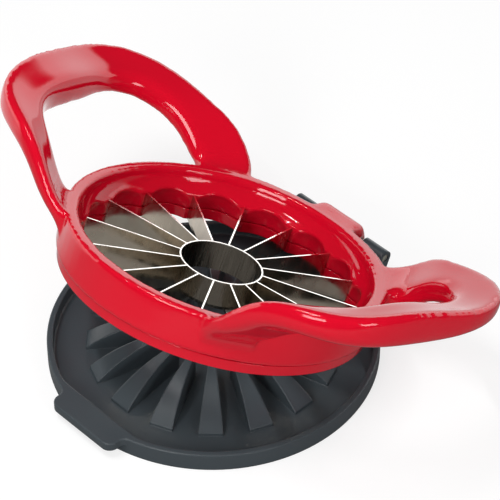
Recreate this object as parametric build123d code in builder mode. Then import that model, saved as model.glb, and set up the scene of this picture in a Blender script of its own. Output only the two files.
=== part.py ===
"""Push-down apple slicer and corer with a hinged base, in millimetres.

A round frame with two raised loop handles carries sixteen thin blades and a corer tube.
Behind the frame a pin joins it to a shallow base, whose sixteen prongs rise between the
blades when the frame closes, and so push the slices all the way through.

The origin is the centre of the base's underside.  +Z is up, the finger tab points to -Y
and the hinge lies along X at the back, +Y.  The frame stands open by open_angle; it closes
until the front of its retaining ring meets the finger tab, two degrees above level.
"""

import os
from math import acos, cos, degrees, hypot, radians, sin

from build123d import *

os.makedirs("parts", exist_ok=True)

# ---- pose ------------------------------------------------------------------------------
open_angle = 22.4           # the frame's angle above level, degrees

# ---- slices ----------------------------------------------------------------------------
slice_count = 16            # blades, wedge gaps and prongs
slice_angle = 360 / slice_count

# ---- base tray -------------------------------------------------------------------------
base_radius = 56.0
base_floor = 1.7            # top of the floor above the table
rim_height = 6.6            # top of the rim above the table
rim_wall = 2.0
rim_rounding = 0.4
floor_cove = 0.8            # between the floor and the rim
foot_depth = 0.4            # recess in the underside, inside the foot ring
foot_width = 4.0            # of the foot ring

# ---- prongs ----------------------------------------------------------------------------
prong_outer_radius = 42.8
prong_inner_radius = 16.6
prong_outer_width = 8.2
prong_inner_width = 1.5
prong_outer_rise = 1.0      # of the top above the floor at the outer end
prong_inner_rise = 10.6     # and at the inner end
prong_bulge = 2.4           # how far the top arches above the straight line between them
prong_shell = 1.4           # wall left over the hollow under each prong

# ---- finger tab ------------------------------------------------------------------------
tab_reach = 60.2            # front edge of the tab, from the centre
tab_half_width = 14.5
tab_thickness = 3.0
tab_corner = 3.4
tab_root_blend = 2.6
tab_chord = 51.0            # straight stretch of the dish's edge beside the tab, from the centre
dish_blend = 15.0           # between that stretch and the round edge

# ---- hinge -----------------------------------------------------------------------------
hinge_reach = 61.0          # of the axis behind the centre
hinge_height = 14.6         # of the axis above the table
knuckle_radius = 2.7
knuckle_outer_x = 21.0      # outer faces of the two base knuckles
knuckle_length = 9.8
knuckle_gap = 1.6           # between a knuckle and the frame's boss
boss_reach = 60.0           # back edge of the boss's flat top, flush with the frame's band
arm_clearance = 0.8         # between the arms and the frame's outer wall
arm_foot_reach = 57.5       # back of the arms at the table
pin_radius = 1.4
pin_clearance = 0.05        # radial, in the frame's boss
pin_recess = 0.3            # of the pin's ends in the knuckles

# ---- frame: heights are measured from the blade plane, the level of the blades' tops ---
blade_plane_height = 12.8   # above the table, with the frame level
band_height = 7.9           # the frame's flat top band
band_inner_radius = 50.2
band_outer_radius = 54.4
wall_inner_radius = 46.4    # inside of the frame at and below the blade plane
wall_foot_radius = 54.6     # outside of the frame at the parting line
parting_depth = 5.8         # parting line with the retaining ring, below the blade plane
niche_radius = 10.5         # of each scallop between two blades
niche_reach = 49.2          # of the scallops, from the centre
niche_crown = 4.8           # centre of a scallop's domed top, below the blade plane

# ---- retaining ring --------------------------------------------------------------------
ring_height = 3.7
ring_top_radius = 53.6
ring_foot_radius = 53.2

# ---- blades and corer ------------------------------------------------------------------
blade_thickness = 0.5
blade_height = 9.3
blade_bevel = 1.4           # height of the ground edge
edge_thickness = 0.1        # of the ground edges of blades and corer
blade_tang = 3.4            # length held in the frame's wall
slot_clearance = 0.05
corer_radius = 14.2
corer_wall = 0.5
corer_height = 10.0
corer_bevel = 1.2           # height of the ground edge

# ---- loop handles: plan outlines of one loop, and heights over the blade plane ---------
handle_tip = 90.7           # outer end of each loop, from the centre
handle_root = (30.0, 43.0)
handle_side = (46.9, 47.1)
handle_shoulder = (71.5, 41.4)
handle_corner = (86.8, 23.4)
grip_tip = 78.5             # inner end of each finger opening
grip_root = (41.5, 30.0)
grip_side = (63.0, 31.8)
grip_corner = (74.0, 21.0)
top_run = ((62.0, 13.4), (70.0, 22.6), (80.0, 28.2), (90.0, 33.2), (98.0, 37.5))
under_run = ((98.0, 26.8), (90.0, 24.4), (80.0, 20.6), (70.0, 14.8), (62.0, 6.6))
under_foot = -3.9           # where the cove under a leg meets the frame's wall
grip_top_rounding = 3.0     # of the finger openings' top edges
under_rounding = 2.0        # of the loops' outer lower edges

# ---- planes of the opened frame --------------------------------------------------------
tilt = radians(open_angle)
lift = blade_plane_height - hinge_height
head = Plane(
    origin=(
        0,
        hinge_reach * (1 - cos(tilt)) + lift * sin(tilt),
        hinge_height + hinge_reach * sin(tilt) + lift * cos(tilt),
    ),
    x_dir=(1, 0, 0),
    z_dir=(0, sin(tilt), cos(tilt)),
)
head_axis = Axis(head.origin, head.z_dir)
# Upright planes through the frame's axis: x runs sideways or backwards, y up the axis.
head_section = Plane(origin=head.origin, x_dir=head.x_dir, z_dir=-head.y_dir)
head_side = Plane(origin=head.origin, x_dir=head.y_dir, z_dir=head.x_dir)


def level(height):
    """The frame's own horizontal plane, at a height above the blade plane."""
    return head.offset(height)


def mirrored(points):
    """An outline's run of points from +Y down to the x axis, followed by its mirror image."""
    return points + [(x, -y) for x, y in reversed(points[:-1])]


# ---- loop handles ----------------------------------------------------------------------
wall_middle = (band_inner_radius + band_outer_radius) / 2


def shared_edges(faces, others):
    """The edges where a face of one list meets a face of the other."""
    return ShapeList([edge for face in faces for edge in face.edges()
                      if any(edge.is_same(other) for near in others for other in near.edges())])


def loop_edges(upper, grip):
    """Each loop's edge between its swept top or underside and its outer or grip side."""
    swept = loops.faces().filter_by(GeomType.REVOLUTION).sort_by(head_axis)
    sides = loops.faces().filter_by(GeomType.EXTRUSION).sort_by(SortBy.AREA)
    return shared_edges(swept[2:] if upper else swept[:2], sides[:2] if grip else sides[2:])


with BuildPart() as loops:
    # A flange that sweeps up and outwards from the frame's wall all the way round.
    with BuildSketch(head_section):
        with BuildLine():
            land = Line((wall_middle, band_height), (band_outer_radius + 0.6, band_height))
            rise = Spline(land @ 1, *top_run, tangents=[(1, 0.25), (1, 0.12)])
            end = Line(rise @ 1, under_run[0])
            foot = (band_outer_radius, under_foot)
            sag = Spline(end @ 1, *under_run[1:], foot, tangents=[(-1, -0.1), (0, -1)])
            heel = Line(sag @ 1, (wall_middle, under_foot))
            Line(heel @ 1, land @ 0)
        make_face()
    revolve(axis=head_axis)
    # Only the two loops of it stay.
    with BuildSketch(level(under_foot)):
        for side in (1, -1):
            rim = mirrored([handle_root, handle_side, handle_shoulder, handle_corner, (handle_tip, 0)])
            with BuildLine():
                edge = Spline(*[(side * x, y) for x, y in rim])
                Line(edge @ 1, edge @ 0)
            make_face()
            hole = mirrored([grip_root, grip_side, grip_corner, (grip_tip, 0)])
            with BuildLine():
                edge = Spline(*[(side * x, y) for x, y in hole])
                Line(edge @ 1, edge @ 0)
            make_face(mode=Mode.SUBTRACT)
    extrude(amount=top_run[-1][1] - under_foot, mode=Mode.INTERSECT)
    fillet(loop_edges(upper=True, grip=True), grip_top_rounding)
    fillet(loop_edges(upper=False, grip=False), under_rounding)

# ---- handle frame ----------------------------------------------------------------------
niche_centre = niche_reach - niche_radius
boss_half = knuckle_outer_x - knuckle_length - knuckle_gap
boss_foot = -knuckle_radius - lift

with BuildPart() as handle_frame:
    # The wall, with a funnel down to the blades.
    with BuildSketch(head_section):
        with BuildLine():
            foot = Line((wall_inner_radius, -parting_depth), (wall_foot_radius, -parting_depth))
            outside = Line(foot @ 1, (band_outer_radius, band_height))
            band = Line(outside @ 1, (band_inner_radius, band_height))
            funnel = ThreePointArc(
                band @ 1,
                ((band_inner_radius + wall_inner_radius) / 2 + 0.7, band_height * 0.45),
                (wall_inner_radius, 0),
            )
            Line(funnel @ 1, foot @ 0)
        make_face()
    revolve(axis=head_axis)
    add(loops.part)
    # The hinge's boss between the base's two knuckles.
    with BuildSketch(head_side):
        with BuildLine():
            CenterArc((hinge_reach, -lift), knuckle_radius, 0, 360)
        with BuildLine():
            Polyline((wall_middle, band_height), (boss_reach, band_height), (wall_middle, boss_foot), close=True)
        make_hull()
    extrude(amount=boss_half, both=True)
    with BuildSketch(head_side):
        with Locations((hinge_reach, -lift)):
            Circle(pin_radius + pin_clearance)
    extrude(amount=boss_half, both=True, mode=Mode.SUBTRACT)
    # A domed scallop in the wall between each two blades.
    with BuildSketch(level(-parting_depth)):
        with PolarLocations(niche_centre, slice_count):
            Circle(niche_radius)
    extrude(amount=parting_depth - niche_crown, mode=Mode.SUBTRACT)
    with Locations(level(-niche_crown)):
        with PolarLocations(niche_centre, slice_count):
            Sphere(niche_radius, mode=Mode.SUBTRACT)
    # A slot for the tang of each blade.
    with BuildSketch(level(-parting_depth)):
        with PolarLocations(wall_inner_radius + blade_tang / 2, slice_count, start_angle=slice_angle / 2):
            Rectangle(blade_tang + 1.0, blade_thickness + 2 * slot_clearance)
    extrude(amount=parting_depth, mode=Mode.SUBTRACT)

handle_frame.part.label = "handle_frame"
export_step(handle_frame.part, "parts/handle_frame.step")

# ---- retaining ring --------------------------------------------------------------------
with BuildPart() as retaining_ring:
    with BuildSketch(head_section):
        with BuildLine():
            Polyline(
                (wall_inner_radius, -parting_depth),
                (ring_top_radius, -parting_depth),
                (ring_foot_radius, -parting_depth - ring_height),
                (wall_inner_radius, -parting_depth - ring_height),
                close=True,
            )
        make_face()
    revolve(axis=head_axis)
    with BuildSketch(level(-parting_depth - ring_height)):
        with PolarLocations(niche_centre, slice_count):
            Circle(niche_radius)
    extrude(amount=ring_height, mode=Mode.SUBTRACT)

retaining_ring.part.label = "retaining_ring"
export_step(retaining_ring.part, "parts/retaining_ring.step")

# ---- blades ----------------------------------------------------------------------------
half_blade = blade_thickness / 2

for number in range(slice_count):
    angle = radians((number + 0.5) * slice_angle)
    outwards = head.x_dir * cos(angle) + head.y_dir * sin(angle)
    # Looks outwards along the blade: x runs across it, y up the frame's axis.
    across = Plane(origin=head.origin, x_dir=outwards.cross(head.z_dir) * -1, z_dir=outwards)
    with BuildPart() as blade:
        with BuildSketch(across):
            with BuildLine():
                Polyline(
                    (-half_blade, 0),
                    (half_blade, 0),
                    (half_blade, blade_bevel - blade_height),
                    (edge_thickness / 2, -blade_height),
                    (-edge_thickness / 2, -blade_height),
                    (-half_blade, blade_bevel - blade_height),
                    close=True,
                )
            make_face()
        extrude(amount=wall_inner_radius - slot_clearance)
        with BuildSketch(across.offset(wall_inner_radius - 1.0)):
            with Locations((0, -parting_depth / 2)):
                Rectangle(blade_thickness, parting_depth)
        extrude(amount=blade_tang + 1.0)
        with BuildSketch(level(-blade_height)):
            Circle(corer_radius)
        extrude(amount=blade_height, mode=Mode.SUBTRACT)
    blade.part.label = f"blade_{number + 1:02d}"
    export_step(blade.part, f"parts/{blade.part.label}.step")

# ---- corer -----------------------------------------------------------------------------
with BuildPart() as corer_tube:
    with BuildSketch(head_section):
        with BuildLine():
            Polyline(
                (corer_radius - corer_wall, 0),
                (corer_radius, 0),
                (corer_radius, corer_bevel - corer_height),
                (corer_radius - corer_wall + edge_thickness, -corer_height),
                (corer_radius - corer_wall, -corer_height),
                close=True,
            )
        make_face()
    revolve(axis=head_axis)

corer_tube.part.label = "corer_tube"
export_step(corer_tube.part, "parts/corer_tube.step")

# ---- base tray -------------------------------------------------------------------------
rim_inner_radius = base_radius - rim_wall
knuckle_inner_x = knuckle_outer_x - knuckle_length
chord_angle = degrees(acos(tab_chord / rim_inner_radius))
# Where the narrowing prong is as thin as its two walls.
prong_taper = (prong_outer_width - prong_inner_width) / (prong_outer_radius - prong_inner_radius)
core_tip_radius = prong_inner_radius + (2 * prong_shell - prong_inner_width) / prong_taper

with BuildPart() as prong:
    # The arched side view, cut to a wedge that narrows towards the centre.
    with BuildSketch(Plane.XZ):
        outer_top = (prong_outer_radius, base_floor + prong_outer_rise)
        inner_top = (prong_inner_radius, base_floor + prong_inner_rise)
        crown = (
            (prong_outer_radius + prong_inner_radius) / 2,
            (outer_top[1] + inner_top[1]) / 2 + prong_bulge,
        )
        with BuildLine():
            arch = ThreePointArc(outer_top, crown, inner_top)
            Polyline(arch @ 1, (prong_inner_radius, foot_depth), (prong_outer_radius, foot_depth), arch @ 0)
        make_face()
    extrude(amount=prong_outer_width, both=True)
    with BuildSketch():
        with BuildLine():
            Polyline(
                (prong_inner_radius, prong_inner_width / 2),
                (prong_outer_radius, prong_outer_width / 2),
                (prong_outer_radius, -prong_outer_width / 2),
                (prong_inner_radius, -prong_inner_width / 2),
                close=True,
            )
        make_face()
    extrude(amount=hinge_height, mode=Mode.INTERSECT)

with BuildPart() as prong_core:
    # The hollow under a prong, open below, that keeps the moulding's walls even.
    with BuildSketch(Plane.XZ):
        with BuildLine():
            arch = ThreePointArc(
                (outer_top[0] - prong_shell, outer_top[1] - prong_shell),
                (crown[0], crown[1] - prong_shell),
                (inner_top[0] + prong_shell, inner_top[1] - prong_shell),
            )
            Polyline(
                arch @ 1,
                (prong_inner_radius + prong_shell, foot_depth),
                (prong_outer_radius - prong_shell, foot_depth),
                arch @ 0,
            )
        make_face()
    extrude(amount=prong_outer_width, both=True)
    with BuildSketch():
        with BuildLine():
            Polyline(
                (core_tip_radius, 0),
                (prong_outer_radius, prong_outer_width / 2 - prong_shell),
                (prong_outer_radius, prong_shell - prong_outer_width / 2),
                close=True,
            )
        make_face()
    extrude(amount=hinge_height, mode=Mode.INTERSECT)

with BuildPart() as arms:
    # Two upright arms behind the frame, each ending in a knuckle.
    with BuildSketch(Plane.YZ.offset(knuckle_inner_x)):
        with BuildLine():
            CenterArc((hinge_reach, hinge_height), knuckle_radius, 0, 360)
        with BuildLine():
            Polyline((base_radius - 5, 0), (arm_foot_reach, 0), (arm_foot_reach, rim_height),
                     (base_radius - 5, rim_height), close=True)
        make_hull()
    extrude(amount=knuckle_length)
    mirror(about=Plane.YZ)
    # They hug the frame's wall above the rim and the tray's inside below it.
    with BuildSketch(Plane.XY.offset(base_floor)):
        Circle(rim_inner_radius)
    extrude(amount=rim_height - base_floor, mode=Mode.SUBTRACT)
    with BuildSketch(Plane.XY.offset(rim_height)):
        Circle(band_outer_radius + arm_clearance)
    extrude(amount=hinge_height - rim_height, mode=Mode.SUBTRACT)

with BuildPart() as base_tray:
    with BuildSketch():
        Circle(base_radius)
    extrude(amount=rim_height)
    # The finger tab, flush with the rim.
    with BuildSketch(Plane.XY.offset(rim_height - tab_thickness)) as tab:
        Circle(base_radius)
        with Locations((0, -tab_reach / 2)):
            RectangleRounded(2 * tab_half_width, tab_reach, tab_corner)
        roots = tab.vertices().filter_by(lambda v: v.Y < 0 and abs(hypot(v.X, v.Y) - base_radius) < 0.001)
        fillet(roots, tab_root_blend)
    extrude(amount=tab_thickness)
    # The dish, with a straight edge beside the tab.
    with BuildSketch(Plane.XY.offset(base_floor)) as dish:
        with BuildLine():
            bow = CenterArc((0, 0), rim_inner_radius, chord_angle - 90, 360 - 2 * chord_angle)
            Line(bow @ 1, bow @ 0)
        make_face()
        fillet(dish.vertices(), dish_blend)
    extrude(amount=rim_height - base_floor, mode=Mode.SUBTRACT)
    fillet(base_tray.faces().sort_by(Axis.Z)[-1].outer_wire().edges(), rim_rounding)
    floor = base_tray.faces().filter_by_position(Axis.Z, base_floor, base_floor)
    fillet(floor.edges(), floor_cove)
    # The recess inside the foot ring.
    with BuildSketch():
        Circle(base_radius - foot_width)
    extrude(amount=foot_depth, mode=Mode.SUBTRACT)
    with PolarLocations(0, slice_count):
        add(prong.part)
    with PolarLocations(0, slice_count):
        add(prong_core.part, mode=Mode.SUBTRACT)
    add(arms.part)
    with BuildSketch(Plane.YZ):
        with Locations((hinge_reach, hinge_height)):
            Circle(pin_radius)
    extrude(amount=knuckle_outer_x, both=True, mode=Mode.SUBTRACT)

base_tray.part.label = "base_tray"
export_step(base_tray.part, "parts/base_tray.step")

# ---- hinge pin -------------------------------------------------------------------------
with BuildPart() as hinge_pin:
    with BuildSketch(Plane.YZ):
        with Locations((hinge_reach, hinge_height)):
            Circle(pin_radius)
    extrude(amount=knuckle_outer_x - pin_recess, both=True)

hinge_pin.part.label = "hinge_pin"
export_step(hinge_pin.part, "parts/hinge_pin.step")
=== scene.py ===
# %% [markdown]
# # A push-down apple slicer and corer
# A round red frame carries sixteen thin steel blades and a corer tube, and two loop handles
# rise from its sides. A pin joins it to a dark grey base with sixteen prongs. The solid model
# arrives with its sizes and its parts in place. This lesson gives it finishes, lights and a
# camera, and makes the loops rounder than the solid's. It shows how moulded plastic and
# polished steel are told apart by what they mirror.

# %% Load the model
from math import cos, radians, sin

import bmesh
import bpy
import numpy as np
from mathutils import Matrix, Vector


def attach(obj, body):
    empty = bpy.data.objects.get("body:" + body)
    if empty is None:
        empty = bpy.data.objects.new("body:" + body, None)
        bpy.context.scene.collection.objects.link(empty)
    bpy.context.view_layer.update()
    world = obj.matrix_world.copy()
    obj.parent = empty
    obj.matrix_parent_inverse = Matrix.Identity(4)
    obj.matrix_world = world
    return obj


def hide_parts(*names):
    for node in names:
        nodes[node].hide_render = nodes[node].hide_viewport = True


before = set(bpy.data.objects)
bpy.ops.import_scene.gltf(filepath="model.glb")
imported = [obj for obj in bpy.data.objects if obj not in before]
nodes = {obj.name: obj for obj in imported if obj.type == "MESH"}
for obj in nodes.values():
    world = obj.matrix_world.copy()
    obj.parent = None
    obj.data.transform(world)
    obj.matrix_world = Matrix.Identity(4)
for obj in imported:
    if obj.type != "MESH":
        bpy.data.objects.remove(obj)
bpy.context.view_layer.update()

# %% [markdown]
# Colours are chosen as sRGB hex values, because that is what a colour picker shows. Blender
# shades in linear light, so one function converts them. A second small function adds a node,
# sets its sockets and joins its links, which keeps every material short to read.

# %% Helpers for colours and nodes
MM = 0.001


def linear(hex_colour):
    """An sRGB hex colour as linear red, green, blue and alpha."""
    parts = [int(hex_colour[i:i + 2], 16) / 255 for i in (1, 3, 5)]
    return tuple([p / 12.92 if p <= 0.04045 else ((p + 0.055) / 1.055) ** 2.4 for p in parts] + [1.0])


def add_node(tree, kind, sockets=(), links=(), **settings):
    """Adds a node; sockets are {input: value} and links are {input: output socket}."""
    node = tree.nodes.new(kind)
    for name, value in settings.items():
        setattr(node, name, value)
    # A Mix node keeps hidden sockets of the same names for its other data types.
    shown = {socket.name: socket for socket in reversed(node.inputs) if socket.enabled}
    for name, value in dict(sockets).items():
        (node.inputs[name] if isinstance(name, int) else shown[name]).default_value = value
    for name, output in dict(links).items():
        tree.links.new(output, node.inputs[name] if isinstance(name, int) else shown[name])
    return node


def result(mix):
    """The output that a Mix node shows for its data type."""
    return next(socket for socket in mix.outputs if socket.enabled)


def rise_behind(tree, place, start, end, most=1.0):
    """Rises from 0 to most as a place goes from start to end away from the lens, to -X and +Y."""
    parts = add_node(tree, "ShaderNodeSeparateXYZ", (), {"Vector": place})
    across = add_node(tree, "ShaderNodeMath", (), {0: parts.outputs["Y"], 1: parts.outputs["X"]},
                      operation="SUBTRACT")
    rise = add_node(tree, "ShaderNodeMapRange",
                    {"From Min": start, "From Max": end, "To Min": 0.0, "To Max": most},
                    {"Value": across.outputs[0]}, interpolation_type="SMOOTHSTEP")
    return rise.outputs["Result"]


def new_material(name):
    """An empty node material, and the tree to build in."""
    material = bpy.data.materials.new(name)
    material.use_nodes = True
    material.node_tree.nodes.clear()
    return material, material.node_tree


def paint(material, *names):
    """Gives the named solids one finish."""
    for name in names:
        mesh = nodes[name].data
        mesh.materials.clear()
        mesh.materials.append(material)
    print(material.name, "on", len(names), "pieces")


# %% [markdown]
# Moulded edges are never knife sharp: the tool that cuts the mould leaves a radius of a few
# tenths of a millimetre, and that radius catches a thin bright line. The bevel node rounds the
# shading there without touching the solid. A very weak, broad noise adds the slight waviness
# that gloss plastic gets as it shrinks in the mould, so that its reflections bend a little.

# %% Glossy moulded ABS
def moulded_plastic(name, base, roughness, edge_mm, wave_mm, wave_depth_mm,
                    grain_mm=None, grain_depth_mm=0.0):
    """A plastic with soft mould edges, a shrinkage wave and, if asked, a fine spark-eroded grain."""
    material, tree = new_material(name)
    place = add_node(tree, "ShaderNodeTexCoord")
    soft_edge = add_node(tree, "ShaderNodeBevel", {"Radius": edge_mm * MM}, samples=6)
    wave = add_node(tree, "ShaderNodeTexNoise", {"Scale": 1 / (wave_mm * MM), "Detail": 1.0},
                    {"Vector": place.outputs["Object"]})
    normal = add_node(tree, "ShaderNodeBump", {"Strength": 1.0, "Distance": wave_depth_mm * MM},
                      {"Height": wave.outputs["Fac"], "Normal": soft_edge.outputs["Normal"]})
    if grain_mm:
        grain = add_node(tree, "ShaderNodeTexNoise", {"Scale": 1 / (grain_mm * MM), "Detail": 2.0},
                         {"Vector": place.outputs["Object"]})
        normal = add_node(tree, "ShaderNodeBump", {"Strength": 1.0, "Distance": grain_depth_mm * MM},
                          {"Height": grain.outputs["Fac"], "Normal": normal.outputs["Normal"]})
    rub = add_node(tree, "ShaderNodeTexNoise", {"Scale": 1 / (18 * MM), "Detail": 3.0},
                   {"Vector": place.outputs["Object"]})
    worn = add_node(tree, "ShaderNodeMapRange", {"From Min": 0.3, "From Max": 0.7,
                    "To Min": roughness * 0.85, "To Max": roughness * 1.2}, {"Value": rub.outputs["Fac"]})
    shader = add_node(tree, "ShaderNodeBsdfPrincipled", {"Base Color": linear(base), "IOR": 1.5},
                      {"Roughness": worn.outputs["Result"], "Normal": normal.outputs["Normal"]})
    add_node(tree, "ShaderNodeOutputMaterial", (), {"Surface": shader.outputs["BSDF"]})
    return material


gloss_red_abs = moulded_plastic("gloss_red_abs", "#DB0A27", roughness=0.06, edge_mm=0.55,
                                wave_mm=30, wave_depth_mm=0.10)
paint(gloss_red_abs, "handle_frame", "retaining_ring")

# %% [markdown]
# The base is the same family of plastic in dark grey, but its mould was spark eroded to a fine
# satin. The grain is a few tenths of a millimetre across, so it scatters the highlights into
# soft gradients instead of mirror images.

# %% Satin grey plastic of the base
satin_grey_abs = moulded_plastic("satin_grey_abs", "#3E464B", roughness=0.36, edge_mm=0.8,
                                 wave_mm=25, wave_depth_mm=0.06, grain_mm=0.5, grain_depth_mm=0.012)
paint(satin_grey_abs, "base_tray")

# %% [markdown]
# Blades and corer are stainless strip. The rolled faces mirror the dim tray and each other, so
# they look dark. Their narrow top edges get a lighter colour: a painted highlight in place of
# the thin lines of light they catch. Rolling leaves faint streaks: on the corer they run up and
# down. They are drawn by noise that is fine across and long along. A Mapping node of type
# Texture first turns the place into the frame's own tilted axes, scaled by the streaks' size,
# so its third number is the height over the blades' top edges in streak lengths.

# %% Stainless strip with a painted highlight on its top edge
TILT = radians(22.4)                        # of the open frame
BLADE_PLANE = np.array((0.0, 3.92, 36.18))  # its centre, mm


def darker(hex_colour):
    """The same hue at 75 percent of its sRGB value."""
    return "#" + "".join(f"{int(int(hex_colour[i:i + 2], 16) * 0.75):02X}" for i in (1, 3, 5))


def rolled_steel(name, face, edge, roughness, streak_mm, streak_length_mm):
    """Steel with streaks streak_mm wide and streak_length_mm long, up the frame's axis."""
    material, tree = new_material(name)
    place = add_node(tree, "ShaderNodeTexCoord")
    in_frame = add_node(tree, "ShaderNodeMapping", {
        "Location": tuple(BLADE_PLANE * MM), "Rotation": (-TILT, 0, 0),
        "Scale": (streak_mm * MM, streak_mm * MM, streak_length_mm * MM)},
        {"Vector": place.outputs["Object"]}, vector_type="TEXTURE")
    streaks = add_node(tree, "ShaderNodeTexNoise", {"Scale": 1.0, "Detail": 3.0},
                       {"Vector": in_frame.outputs["Vector"]})
    dull = add_node(tree, "ShaderNodeMapRange", {"From Min": 0.3, "From Max": 0.7,
                    "To Min": roughness * 0.5, "To Max": roughness * 1.8}, {"Value": streaks.outputs["Fac"]})
    height = add_node(tree, "ShaderNodeSeparateXYZ", (), {"Vector": in_frame.outputs["Vector"]})
    # The painted highlight covers the top 0.1 mm, and it fades out 0.35 mm down.
    painted_highlight = add_node(tree, "ShaderNodeMapRange",
                      {"From Min": -0.35 / streak_length_mm, "From Max": -0.1 / streak_length_mm},
                      {"Value": height.outputs["Z"]})
    shade = add_node(tree, "ShaderNodeMix", {"A": linear(darker(face)), "B": linear(face)},
                     {"Factor": streaks.outputs["Fac"]}, data_type="RGBA")
    colour = add_node(tree, "ShaderNodeMix", {"B": linear(edge)},
                      {"Factor": painted_highlight.outputs["Result"], "A": result(shade)}, data_type="RGBA")
    relief = add_node(tree, "ShaderNodeBump", {"Strength": 1.0, "Distance": 0.006 * MM},
                      {"Height": streaks.outputs["Fac"]})
    shader = add_node(tree, "ShaderNodeBsdfPrincipled", {"Metallic": 1.0}, {"Base Color": result(colour),
                      "Roughness": dull.outputs["Result"], "Normal": relief.outputs["Normal"]})
    add_node(tree, "ShaderNodeOutputMaterial", (), {"Surface": shader.outputs["BSDF"]})
    return material


# The second colour of each steel is the painted highlight on its top edge.
rolled_stainless = rolled_steel("rolled_stainless", "#DCD1BE", "#F4F1EC", 0.16,
                                streak_mm=5, streak_length_mm=9)
# The corer's face colour is darker than the blades': painted shade for the inside of the tube.
drawn_stainless_painted_shade = rolled_steel("drawn_stainless_painted_shade", "#8E867A", "#F4F1EC", 0.20,
                               streak_mm=0.7, streak_length_mm=12)
paint(rolled_stainless, *sorted(name for name in nodes if name.startswith("blade_")))
paint(drawn_stainless_painted_shade, "corer_tube")

# %% [markdown]
# The hinge pin is plain drawn wire, so it is duller than the polished blades. Its face and
# its edge have one colour, so no highlight is painted on its edge.

# %% Drawn wire of the pin
drawn_wire = rolled_steel("drawn_wire", "#C8C6B8", "#C8C6B8", 0.35, streak_mm=0.4, streak_length_mm=5)
paint(drawn_wire, "hinge_pin")

# %% [markdown]
# The frame comes out of its mould with its edges rounded, and its loops are round in section.
# The solid has the loops' outline and sweep, but with flat tops. A copy of it is turned into
# an even skin of half-millimetre faces, because smoothing needs faces of one size. Then two
# things happen to that skin: the loops are eased towards the sweep of the moulding, by a few
# millimetres, and the skin is relaxed, lightly on the ring and strongly on the loops.

# %% An even skin over the frame
FRAME_AXES = np.array(((1, 0, 0), (0, cos(TILT), -sin(TILT)), (0, sin(TILT), cos(TILT))))
BLADES = 16
SLOT_LOW, SLOT_HIGH = (46.6, -0.5, -5.7), (50.2, 0.5, -0.1)    # of one blade's slot, mm
SKIN_FACE = 0.5                                                # mm


def evaluated(piece):
    """The piece's mesh with its modifiers applied."""
    graph = bpy.context.evaluated_depsgraph_get()
    return bpy.data.meshes.new_from_object(piece.evaluated_get(graph))


def block(shape, low, high, turn):
    """Adds a closed box to a bmesh, given in the frame's own axes and turned about them."""
    across, along, up = zip(low, high)
    corners = np.array([[x, y, z] for x in across for y in along for z in up])
    spin = np.array(((cos(turn), sin(turn), 0), (-sin(turn), cos(turn), 0), (0, 0, 1)))
    placed = (corners @ spin @ FRAME_AXES + BLADE_PLANE) * MM
    points = [shape.verts.new(point) for point in placed]
    for face in ((0, 1, 3, 2), (4, 6, 7, 5), (0, 4, 5, 1), (2, 3, 7, 6), (0, 2, 6, 4), (1, 5, 7, 3)):
        shape.faces.new([points[i] for i in face])


shape = bmesh.new()
shape.from_mesh(nodes["handle_frame"].data)
# The blades fill their slots, so the slots are closed before the skin is made.
for number in range(BLADES):
    block(shape, SLOT_LOW, SLOT_HIGH, radians(360 / BLADES * (number + 0.5)))
skin = bpy.data.meshes.new("moulded_frame")
shape.to_mesh(skin)
shape.free()
moulded_frame = bpy.data.objects.new("moulded_frame", skin)
bpy.context.scene.collection.objects.link(moulded_frame)
even = moulded_frame.modifiers.new("even", "REMESH")
even.mode = "VOXEL"
even.voxel_size = SKIN_FACE * MM
moulded_frame.data = evaluated(moulded_frame)
moulded_frame.modifiers.clear()
print("skin of", len(moulded_frame.data.vertices), "points")

# %% Ease the loops to the moulding's sweep
points = np.empty(len(moulded_frame.data.vertices) * 3)
moulded_frame.data.vertices.foreach_get("co", points)
x, y, height = ((points.reshape(-1, 3) / MM - BLADE_PLANE) @ FRAME_AXES.T).T
reach = np.hypot(x, y)


def run(knots):
    """A smooth curve near knots of (distance from the axis, value), read at every point."""
    grid = np.arange(40.0, 110.0, 0.25)
    values = np.interp(grid, *zip(*knots))
    # Two passes of a moving average over 21 grid steps, about 5 mm, round the corners off.
    half_window = 10
    window = np.ones(2 * half_window + 1) / (2 * half_window + 1)
    for _ in range(2):
        values = np.convolve(np.pad(values, half_window, "edge"), window, "valid")
    return np.interp(reach, grid, values)


side = np.sign(x)
top = run([(54, 7.9), (62, 13.4), (70, 22.6), (80, 28.2), (90, 33.2)])
under = run([(54, -3.9), (62, 6.6), (70, 14.8), (80, 20.6), (90, 24.4)])
lower_half = np.clip((top - height) / (top - under), 0, 1)    # 0 on top, 1 on the underside
# Each pull: its centre beside the right loop, how wide it fades, how far it moves, in mm, and
# its shares on the loop's top and on its underside.
pulls = (
    ((55, -41), 14, (0.0, 0.4, 2.6), (1, 1)),      # the front leg rises sooner
    ((77, -4), 14, (-4.5, 0.3, 0.3), (1, 1)),      # the grip is wider towards the fingers
    ((73, -14), 14, (-0.8, 0.8, 3.2), (1, 0)),     # and flatter on top
    ((79, -35), 13, (0.8, -1.2, 0.0), (1, 1)),     # and fuller at its front corner
    ((37, 46), 12, (-0.5, 5.5, 1.2), (1, 1)),      # the back leg is broad where it leaves the ring
    ((58, 47), 13, (0.0, -2.2, -1.4), (1, 1)),     # its shoulder is rounder
    ((81, 27), 14, (0.4, 0.4, 0.5), (1, 1)),       # the far corner lifts
    ((91, 8), 16, (3.8, 0.0, -0.6), (1, 1)),       # the grip reaches further out
    ((89, 16), 12, (0.0, 0.0, 2.2), (0, 1)),       # and is thinner at its end
)
beyond_ring = run([(53, 0), (59, 1)])
shift = np.zeros((len(x), 3))
for centre, fade, move, (on_top, below) in pulls:
    near = np.exp(-((np.abs(x) - centre[0]) ** 2 + (y - centre[1]) ** 2) / (2 * fade ** 2)) * beyond_ring
    share = near * (on_top * (1 - lower_half) + below * lower_half)
    shift += share[:, None] * np.array(move)
x, y, height = x + side * shift[:, 0], y + shift[:, 1], height + shift[:, 2]
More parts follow.
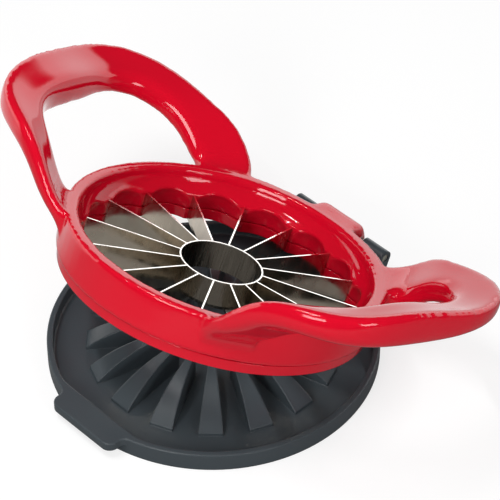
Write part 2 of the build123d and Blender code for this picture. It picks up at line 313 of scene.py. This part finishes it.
moved = (np.stack([x, y, height], 1) @ FRAME_AXES + BLADE_PLANE) * MM
moulded_frame.data.vertices.foreach_set("co", moved.ravel())
print("loops eased by up to", round(float(np.abs(shift).max()), 1), "mm")

# %% Relax the skin
loops = moulded_frame.vertex_groups.new(name="loops")
weights = run([(54.8, 0), (59, 1)]).clip(0, 1)
WEIGHT_STEPS = 10
for step in range(1, WEIGHT_STEPS + 1):
    chosen = np.nonzero(np.ceil(weights * WEIGHT_STEPS) == step)[0]
    loops.add(chosen.tolist(), step / WEIGHT_STEPS, "REPLACE")
EDGE_ROUNDS, LOOP_ROUNDS = 6, 130
for name, rounds, group in (("mould_edges", EDGE_ROUNDS, ""), ("round_loops", LOOP_ROUNDS, "loops")):
    relax = moulded_frame.modifiers.new(name, "SMOOTH")
    relax.factor = 0.5
    relax.iterations = rounds
    relax.vertex_group = group
# Relaxing makes a round bar thinner; this gives the width back.
fuller = moulded_frame.modifiers.new("full_loops", "DISPLACE")
fuller.strength = 0.65 * MM
fuller.mid_level = 0.0
fuller.vertex_group = "loops"
thin = moulded_frame.modifiers.new("fewer_faces", "DECIMATE")
thin.ratio = 0.5
moulded_frame.data = evaluated(moulded_frame)
moulded_frame.modifiers.clear()
moulded_frame.data.shade_smooth()
moulded_frame.data.materials.clear()
moulded_frame.data.materials.append(gloss_red_abs)
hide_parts("handle_frame")
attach(moulded_frame, "head")
print("moulded frame of", len(moulded_frame.data.polygons), "faces")

# %% [markdown]
# Gloss plastic shows its surroundings, so the surroundings are designed first. A white sweep
# stands low behind the object: faces that lean away from the camera mirror it and turn pink.
# Above and in front the studio is dim, so faces turned to the camera keep their deep red.

# %% World: a white sweep low behind, a dim studio elsewhere
world = bpy.data.worlds.new("studio")
bpy.context.scene.world = world
world.use_nodes = True
sky = world.node_tree
sky.nodes.clear()
direction = add_node(sky, "ShaderNodeTexCoord")
# Z is the sine of the angle over the horizon: low is 1 below 17 degrees and 0 above 22.
aim = add_node(sky, "ShaderNodeSeparateXYZ", (), {"Vector": direction.outputs["Generated"]})
low = add_node(sky, "ShaderNodeMapRange", {"From Min": 0.30, "From Max": 0.38, "To Min": 1.0, "To Max": 0.0},
               {"Value": aim.outputs["Z"]}, interpolation_type="SMOOTHSTEP")
behind = rise_behind(sky, direction.outputs["Generated"], start=0.0, end=0.15)
sweep = add_node(sky, "ShaderNodeMath", (), {0: low.outputs["Result"], 1: behind}, operation="MULTIPLY")
mirrored = add_node(sky, "ShaderNodeMapRange", {"To Min": 0.04, "To Max": 2.0}, {"Value": sweep.outputs[0]})
rays = add_node(sky, "ShaderNodeLightPath")
# Camera rays see plain white, mirrored rays the sweep, and all others a soft even fill.
fill_or_mirror = add_node(sky, "ShaderNodeMix", {"A": 0.42}, {"Factor": rays.outputs["Is Glossy Ray"],
                          "B": mirrored.outputs["Result"]})
level = add_node(sky, "ShaderNodeMix", {"B": 1.0}, {"Factor": rays.outputs["Is Camera Ray"],
                 "A": fill_or_mirror.outputs["Result"]})
studio = add_node(sky, "ShaderNodeBackground", {"Color": (1, 1, 1, 1)}, {"Strength": level.outputs["Result"]})
add_node(sky, "ShaderNodeOutputWorld", (), {"Surface": studio.outputs["Background"]})

# %% [markdown]
# The floor is white paper. It must stay white to the camera and still take the soft shadow, so
# a little of its brightness is its own and the rest comes from the lamps.

# %% White paper floor
paper, tree = new_material("white_paper")
diffuse = add_node(tree, "ShaderNodeBsdfDiffuse", {"Color": linear("#9A9A9A")})
rays = add_node(tree, "ShaderNodeLightPath")
lift = add_node(tree, "ShaderNodeMath", {1: 0.72}, {0: rays.outputs["Is Camera Ray"]}, operation="MULTIPLY")
# Mirrored rays see the paper brighten behind the object, as it does under the white sweep.
place = add_node(tree, "ShaderNodeTexCoord")
bright = rise_behind(tree, place.outputs["Object"], start=40 * MM, end=130 * MM, most=0.9)
mirrored = add_node(tree, "ShaderNodeMath", (), {0: bright, 1: rays.outputs["Is Glossy Ray"]},
                    operation="MULTIPLY")
total = add_node(tree, "ShaderNodeMath", (), {0: lift.outputs[0], 1: mirrored.outputs[0]}, operation="ADD")
glow = add_node(tree, "ShaderNodeEmission", {"Color": (1, 1, 1, 1)}, {"Strength": total.outputs[0]})
both = add_node(tree, "ShaderNodeAddShader", (), {0: diffuse.outputs["BSDF"], 1: glow.outputs["Emission"]})
add_node(tree, "ShaderNodeOutputMaterial", (), {"Surface": both.outputs["Shader"]})
half = 2.0    # of its width, in metres
sheet = bpy.data.meshes.new("paper_floor")
corners = [(-half, -half, 0), (half, -half, 0), (half, half, 0), (-half, half, 0)]
sheet.from_pydata(corners, [], [(0, 1, 2, 3)])
sheet.materials.append(paper)
floor = bpy.data.objects.new("paper_floor", sheet)
bpy.context.scene.collection.objects.link(floor)

# %% [markdown]
# Lamps are soft, as over a product table. A big box in front, to the left of the camera, gives
# form, and a smaller one on its right lightens that side. Two narrow strips overhead draw the
# thin highlights along the ring's rounded edges.

# %% Soft boxes
def soft_box(name, position_mm, width_mm, height_mm, watts, aim_mm=(0, 0, 25)):
    """A rectangular lamp that faces a point on the object."""
    lamp = bpy.data.lights.new(name, "AREA")
    lamp.shape = "RECTANGLE"
    lamp.size = width_mm * MM
    lamp.size_y = height_mm * MM
    lamp.energy = watts
    holder = bpy.data.objects.new(name, lamp)
    holder.location = Vector(position_mm) * MM
    holder.rotation_euler = (Vector(aim_mm) * MM - holder.location).to_track_quat("-Z", "Y").to_euler()
    bpy.context.scene.collection.objects.link(holder)
    return holder


soft_box("front_box", (250, -800, 500), 400, 300, 3.2)
soft_box("long_tube", (-120, -230, 880), 420, 30, 2.4)
soft_box("short_tube", (-150, -400, 820), 200, 14, 0.5)
soft_box("side_box", (820, -120, 330), 260, 260, 1.5)

# %% [markdown]
# The camera stands at the corner between the tab and a handle and looks down at about 43
# degrees. A long lens keeps the circles of frame and base close to true ellipses.

# %% Camera
lens = bpy.data.cameras.new("camera")
lens.sensor_width = 36.0
lens.lens = 172.8
camera = bpy.data.objects.new("camera", lens)
camera.location = Vector((417.07, -389.93, 575.32)) * MM
target = Vector((-13.95, 30.58, 15.0)) * MM
camera.rotation_euler = (target - camera.location).to_track_quat("-Z", "Y").to_euler()
bpy.context.scene.collection.objects.link(camera)
bpy.context.scene.camera = camera
bpy.context.scene.view_settings.view_transform = "Standard"
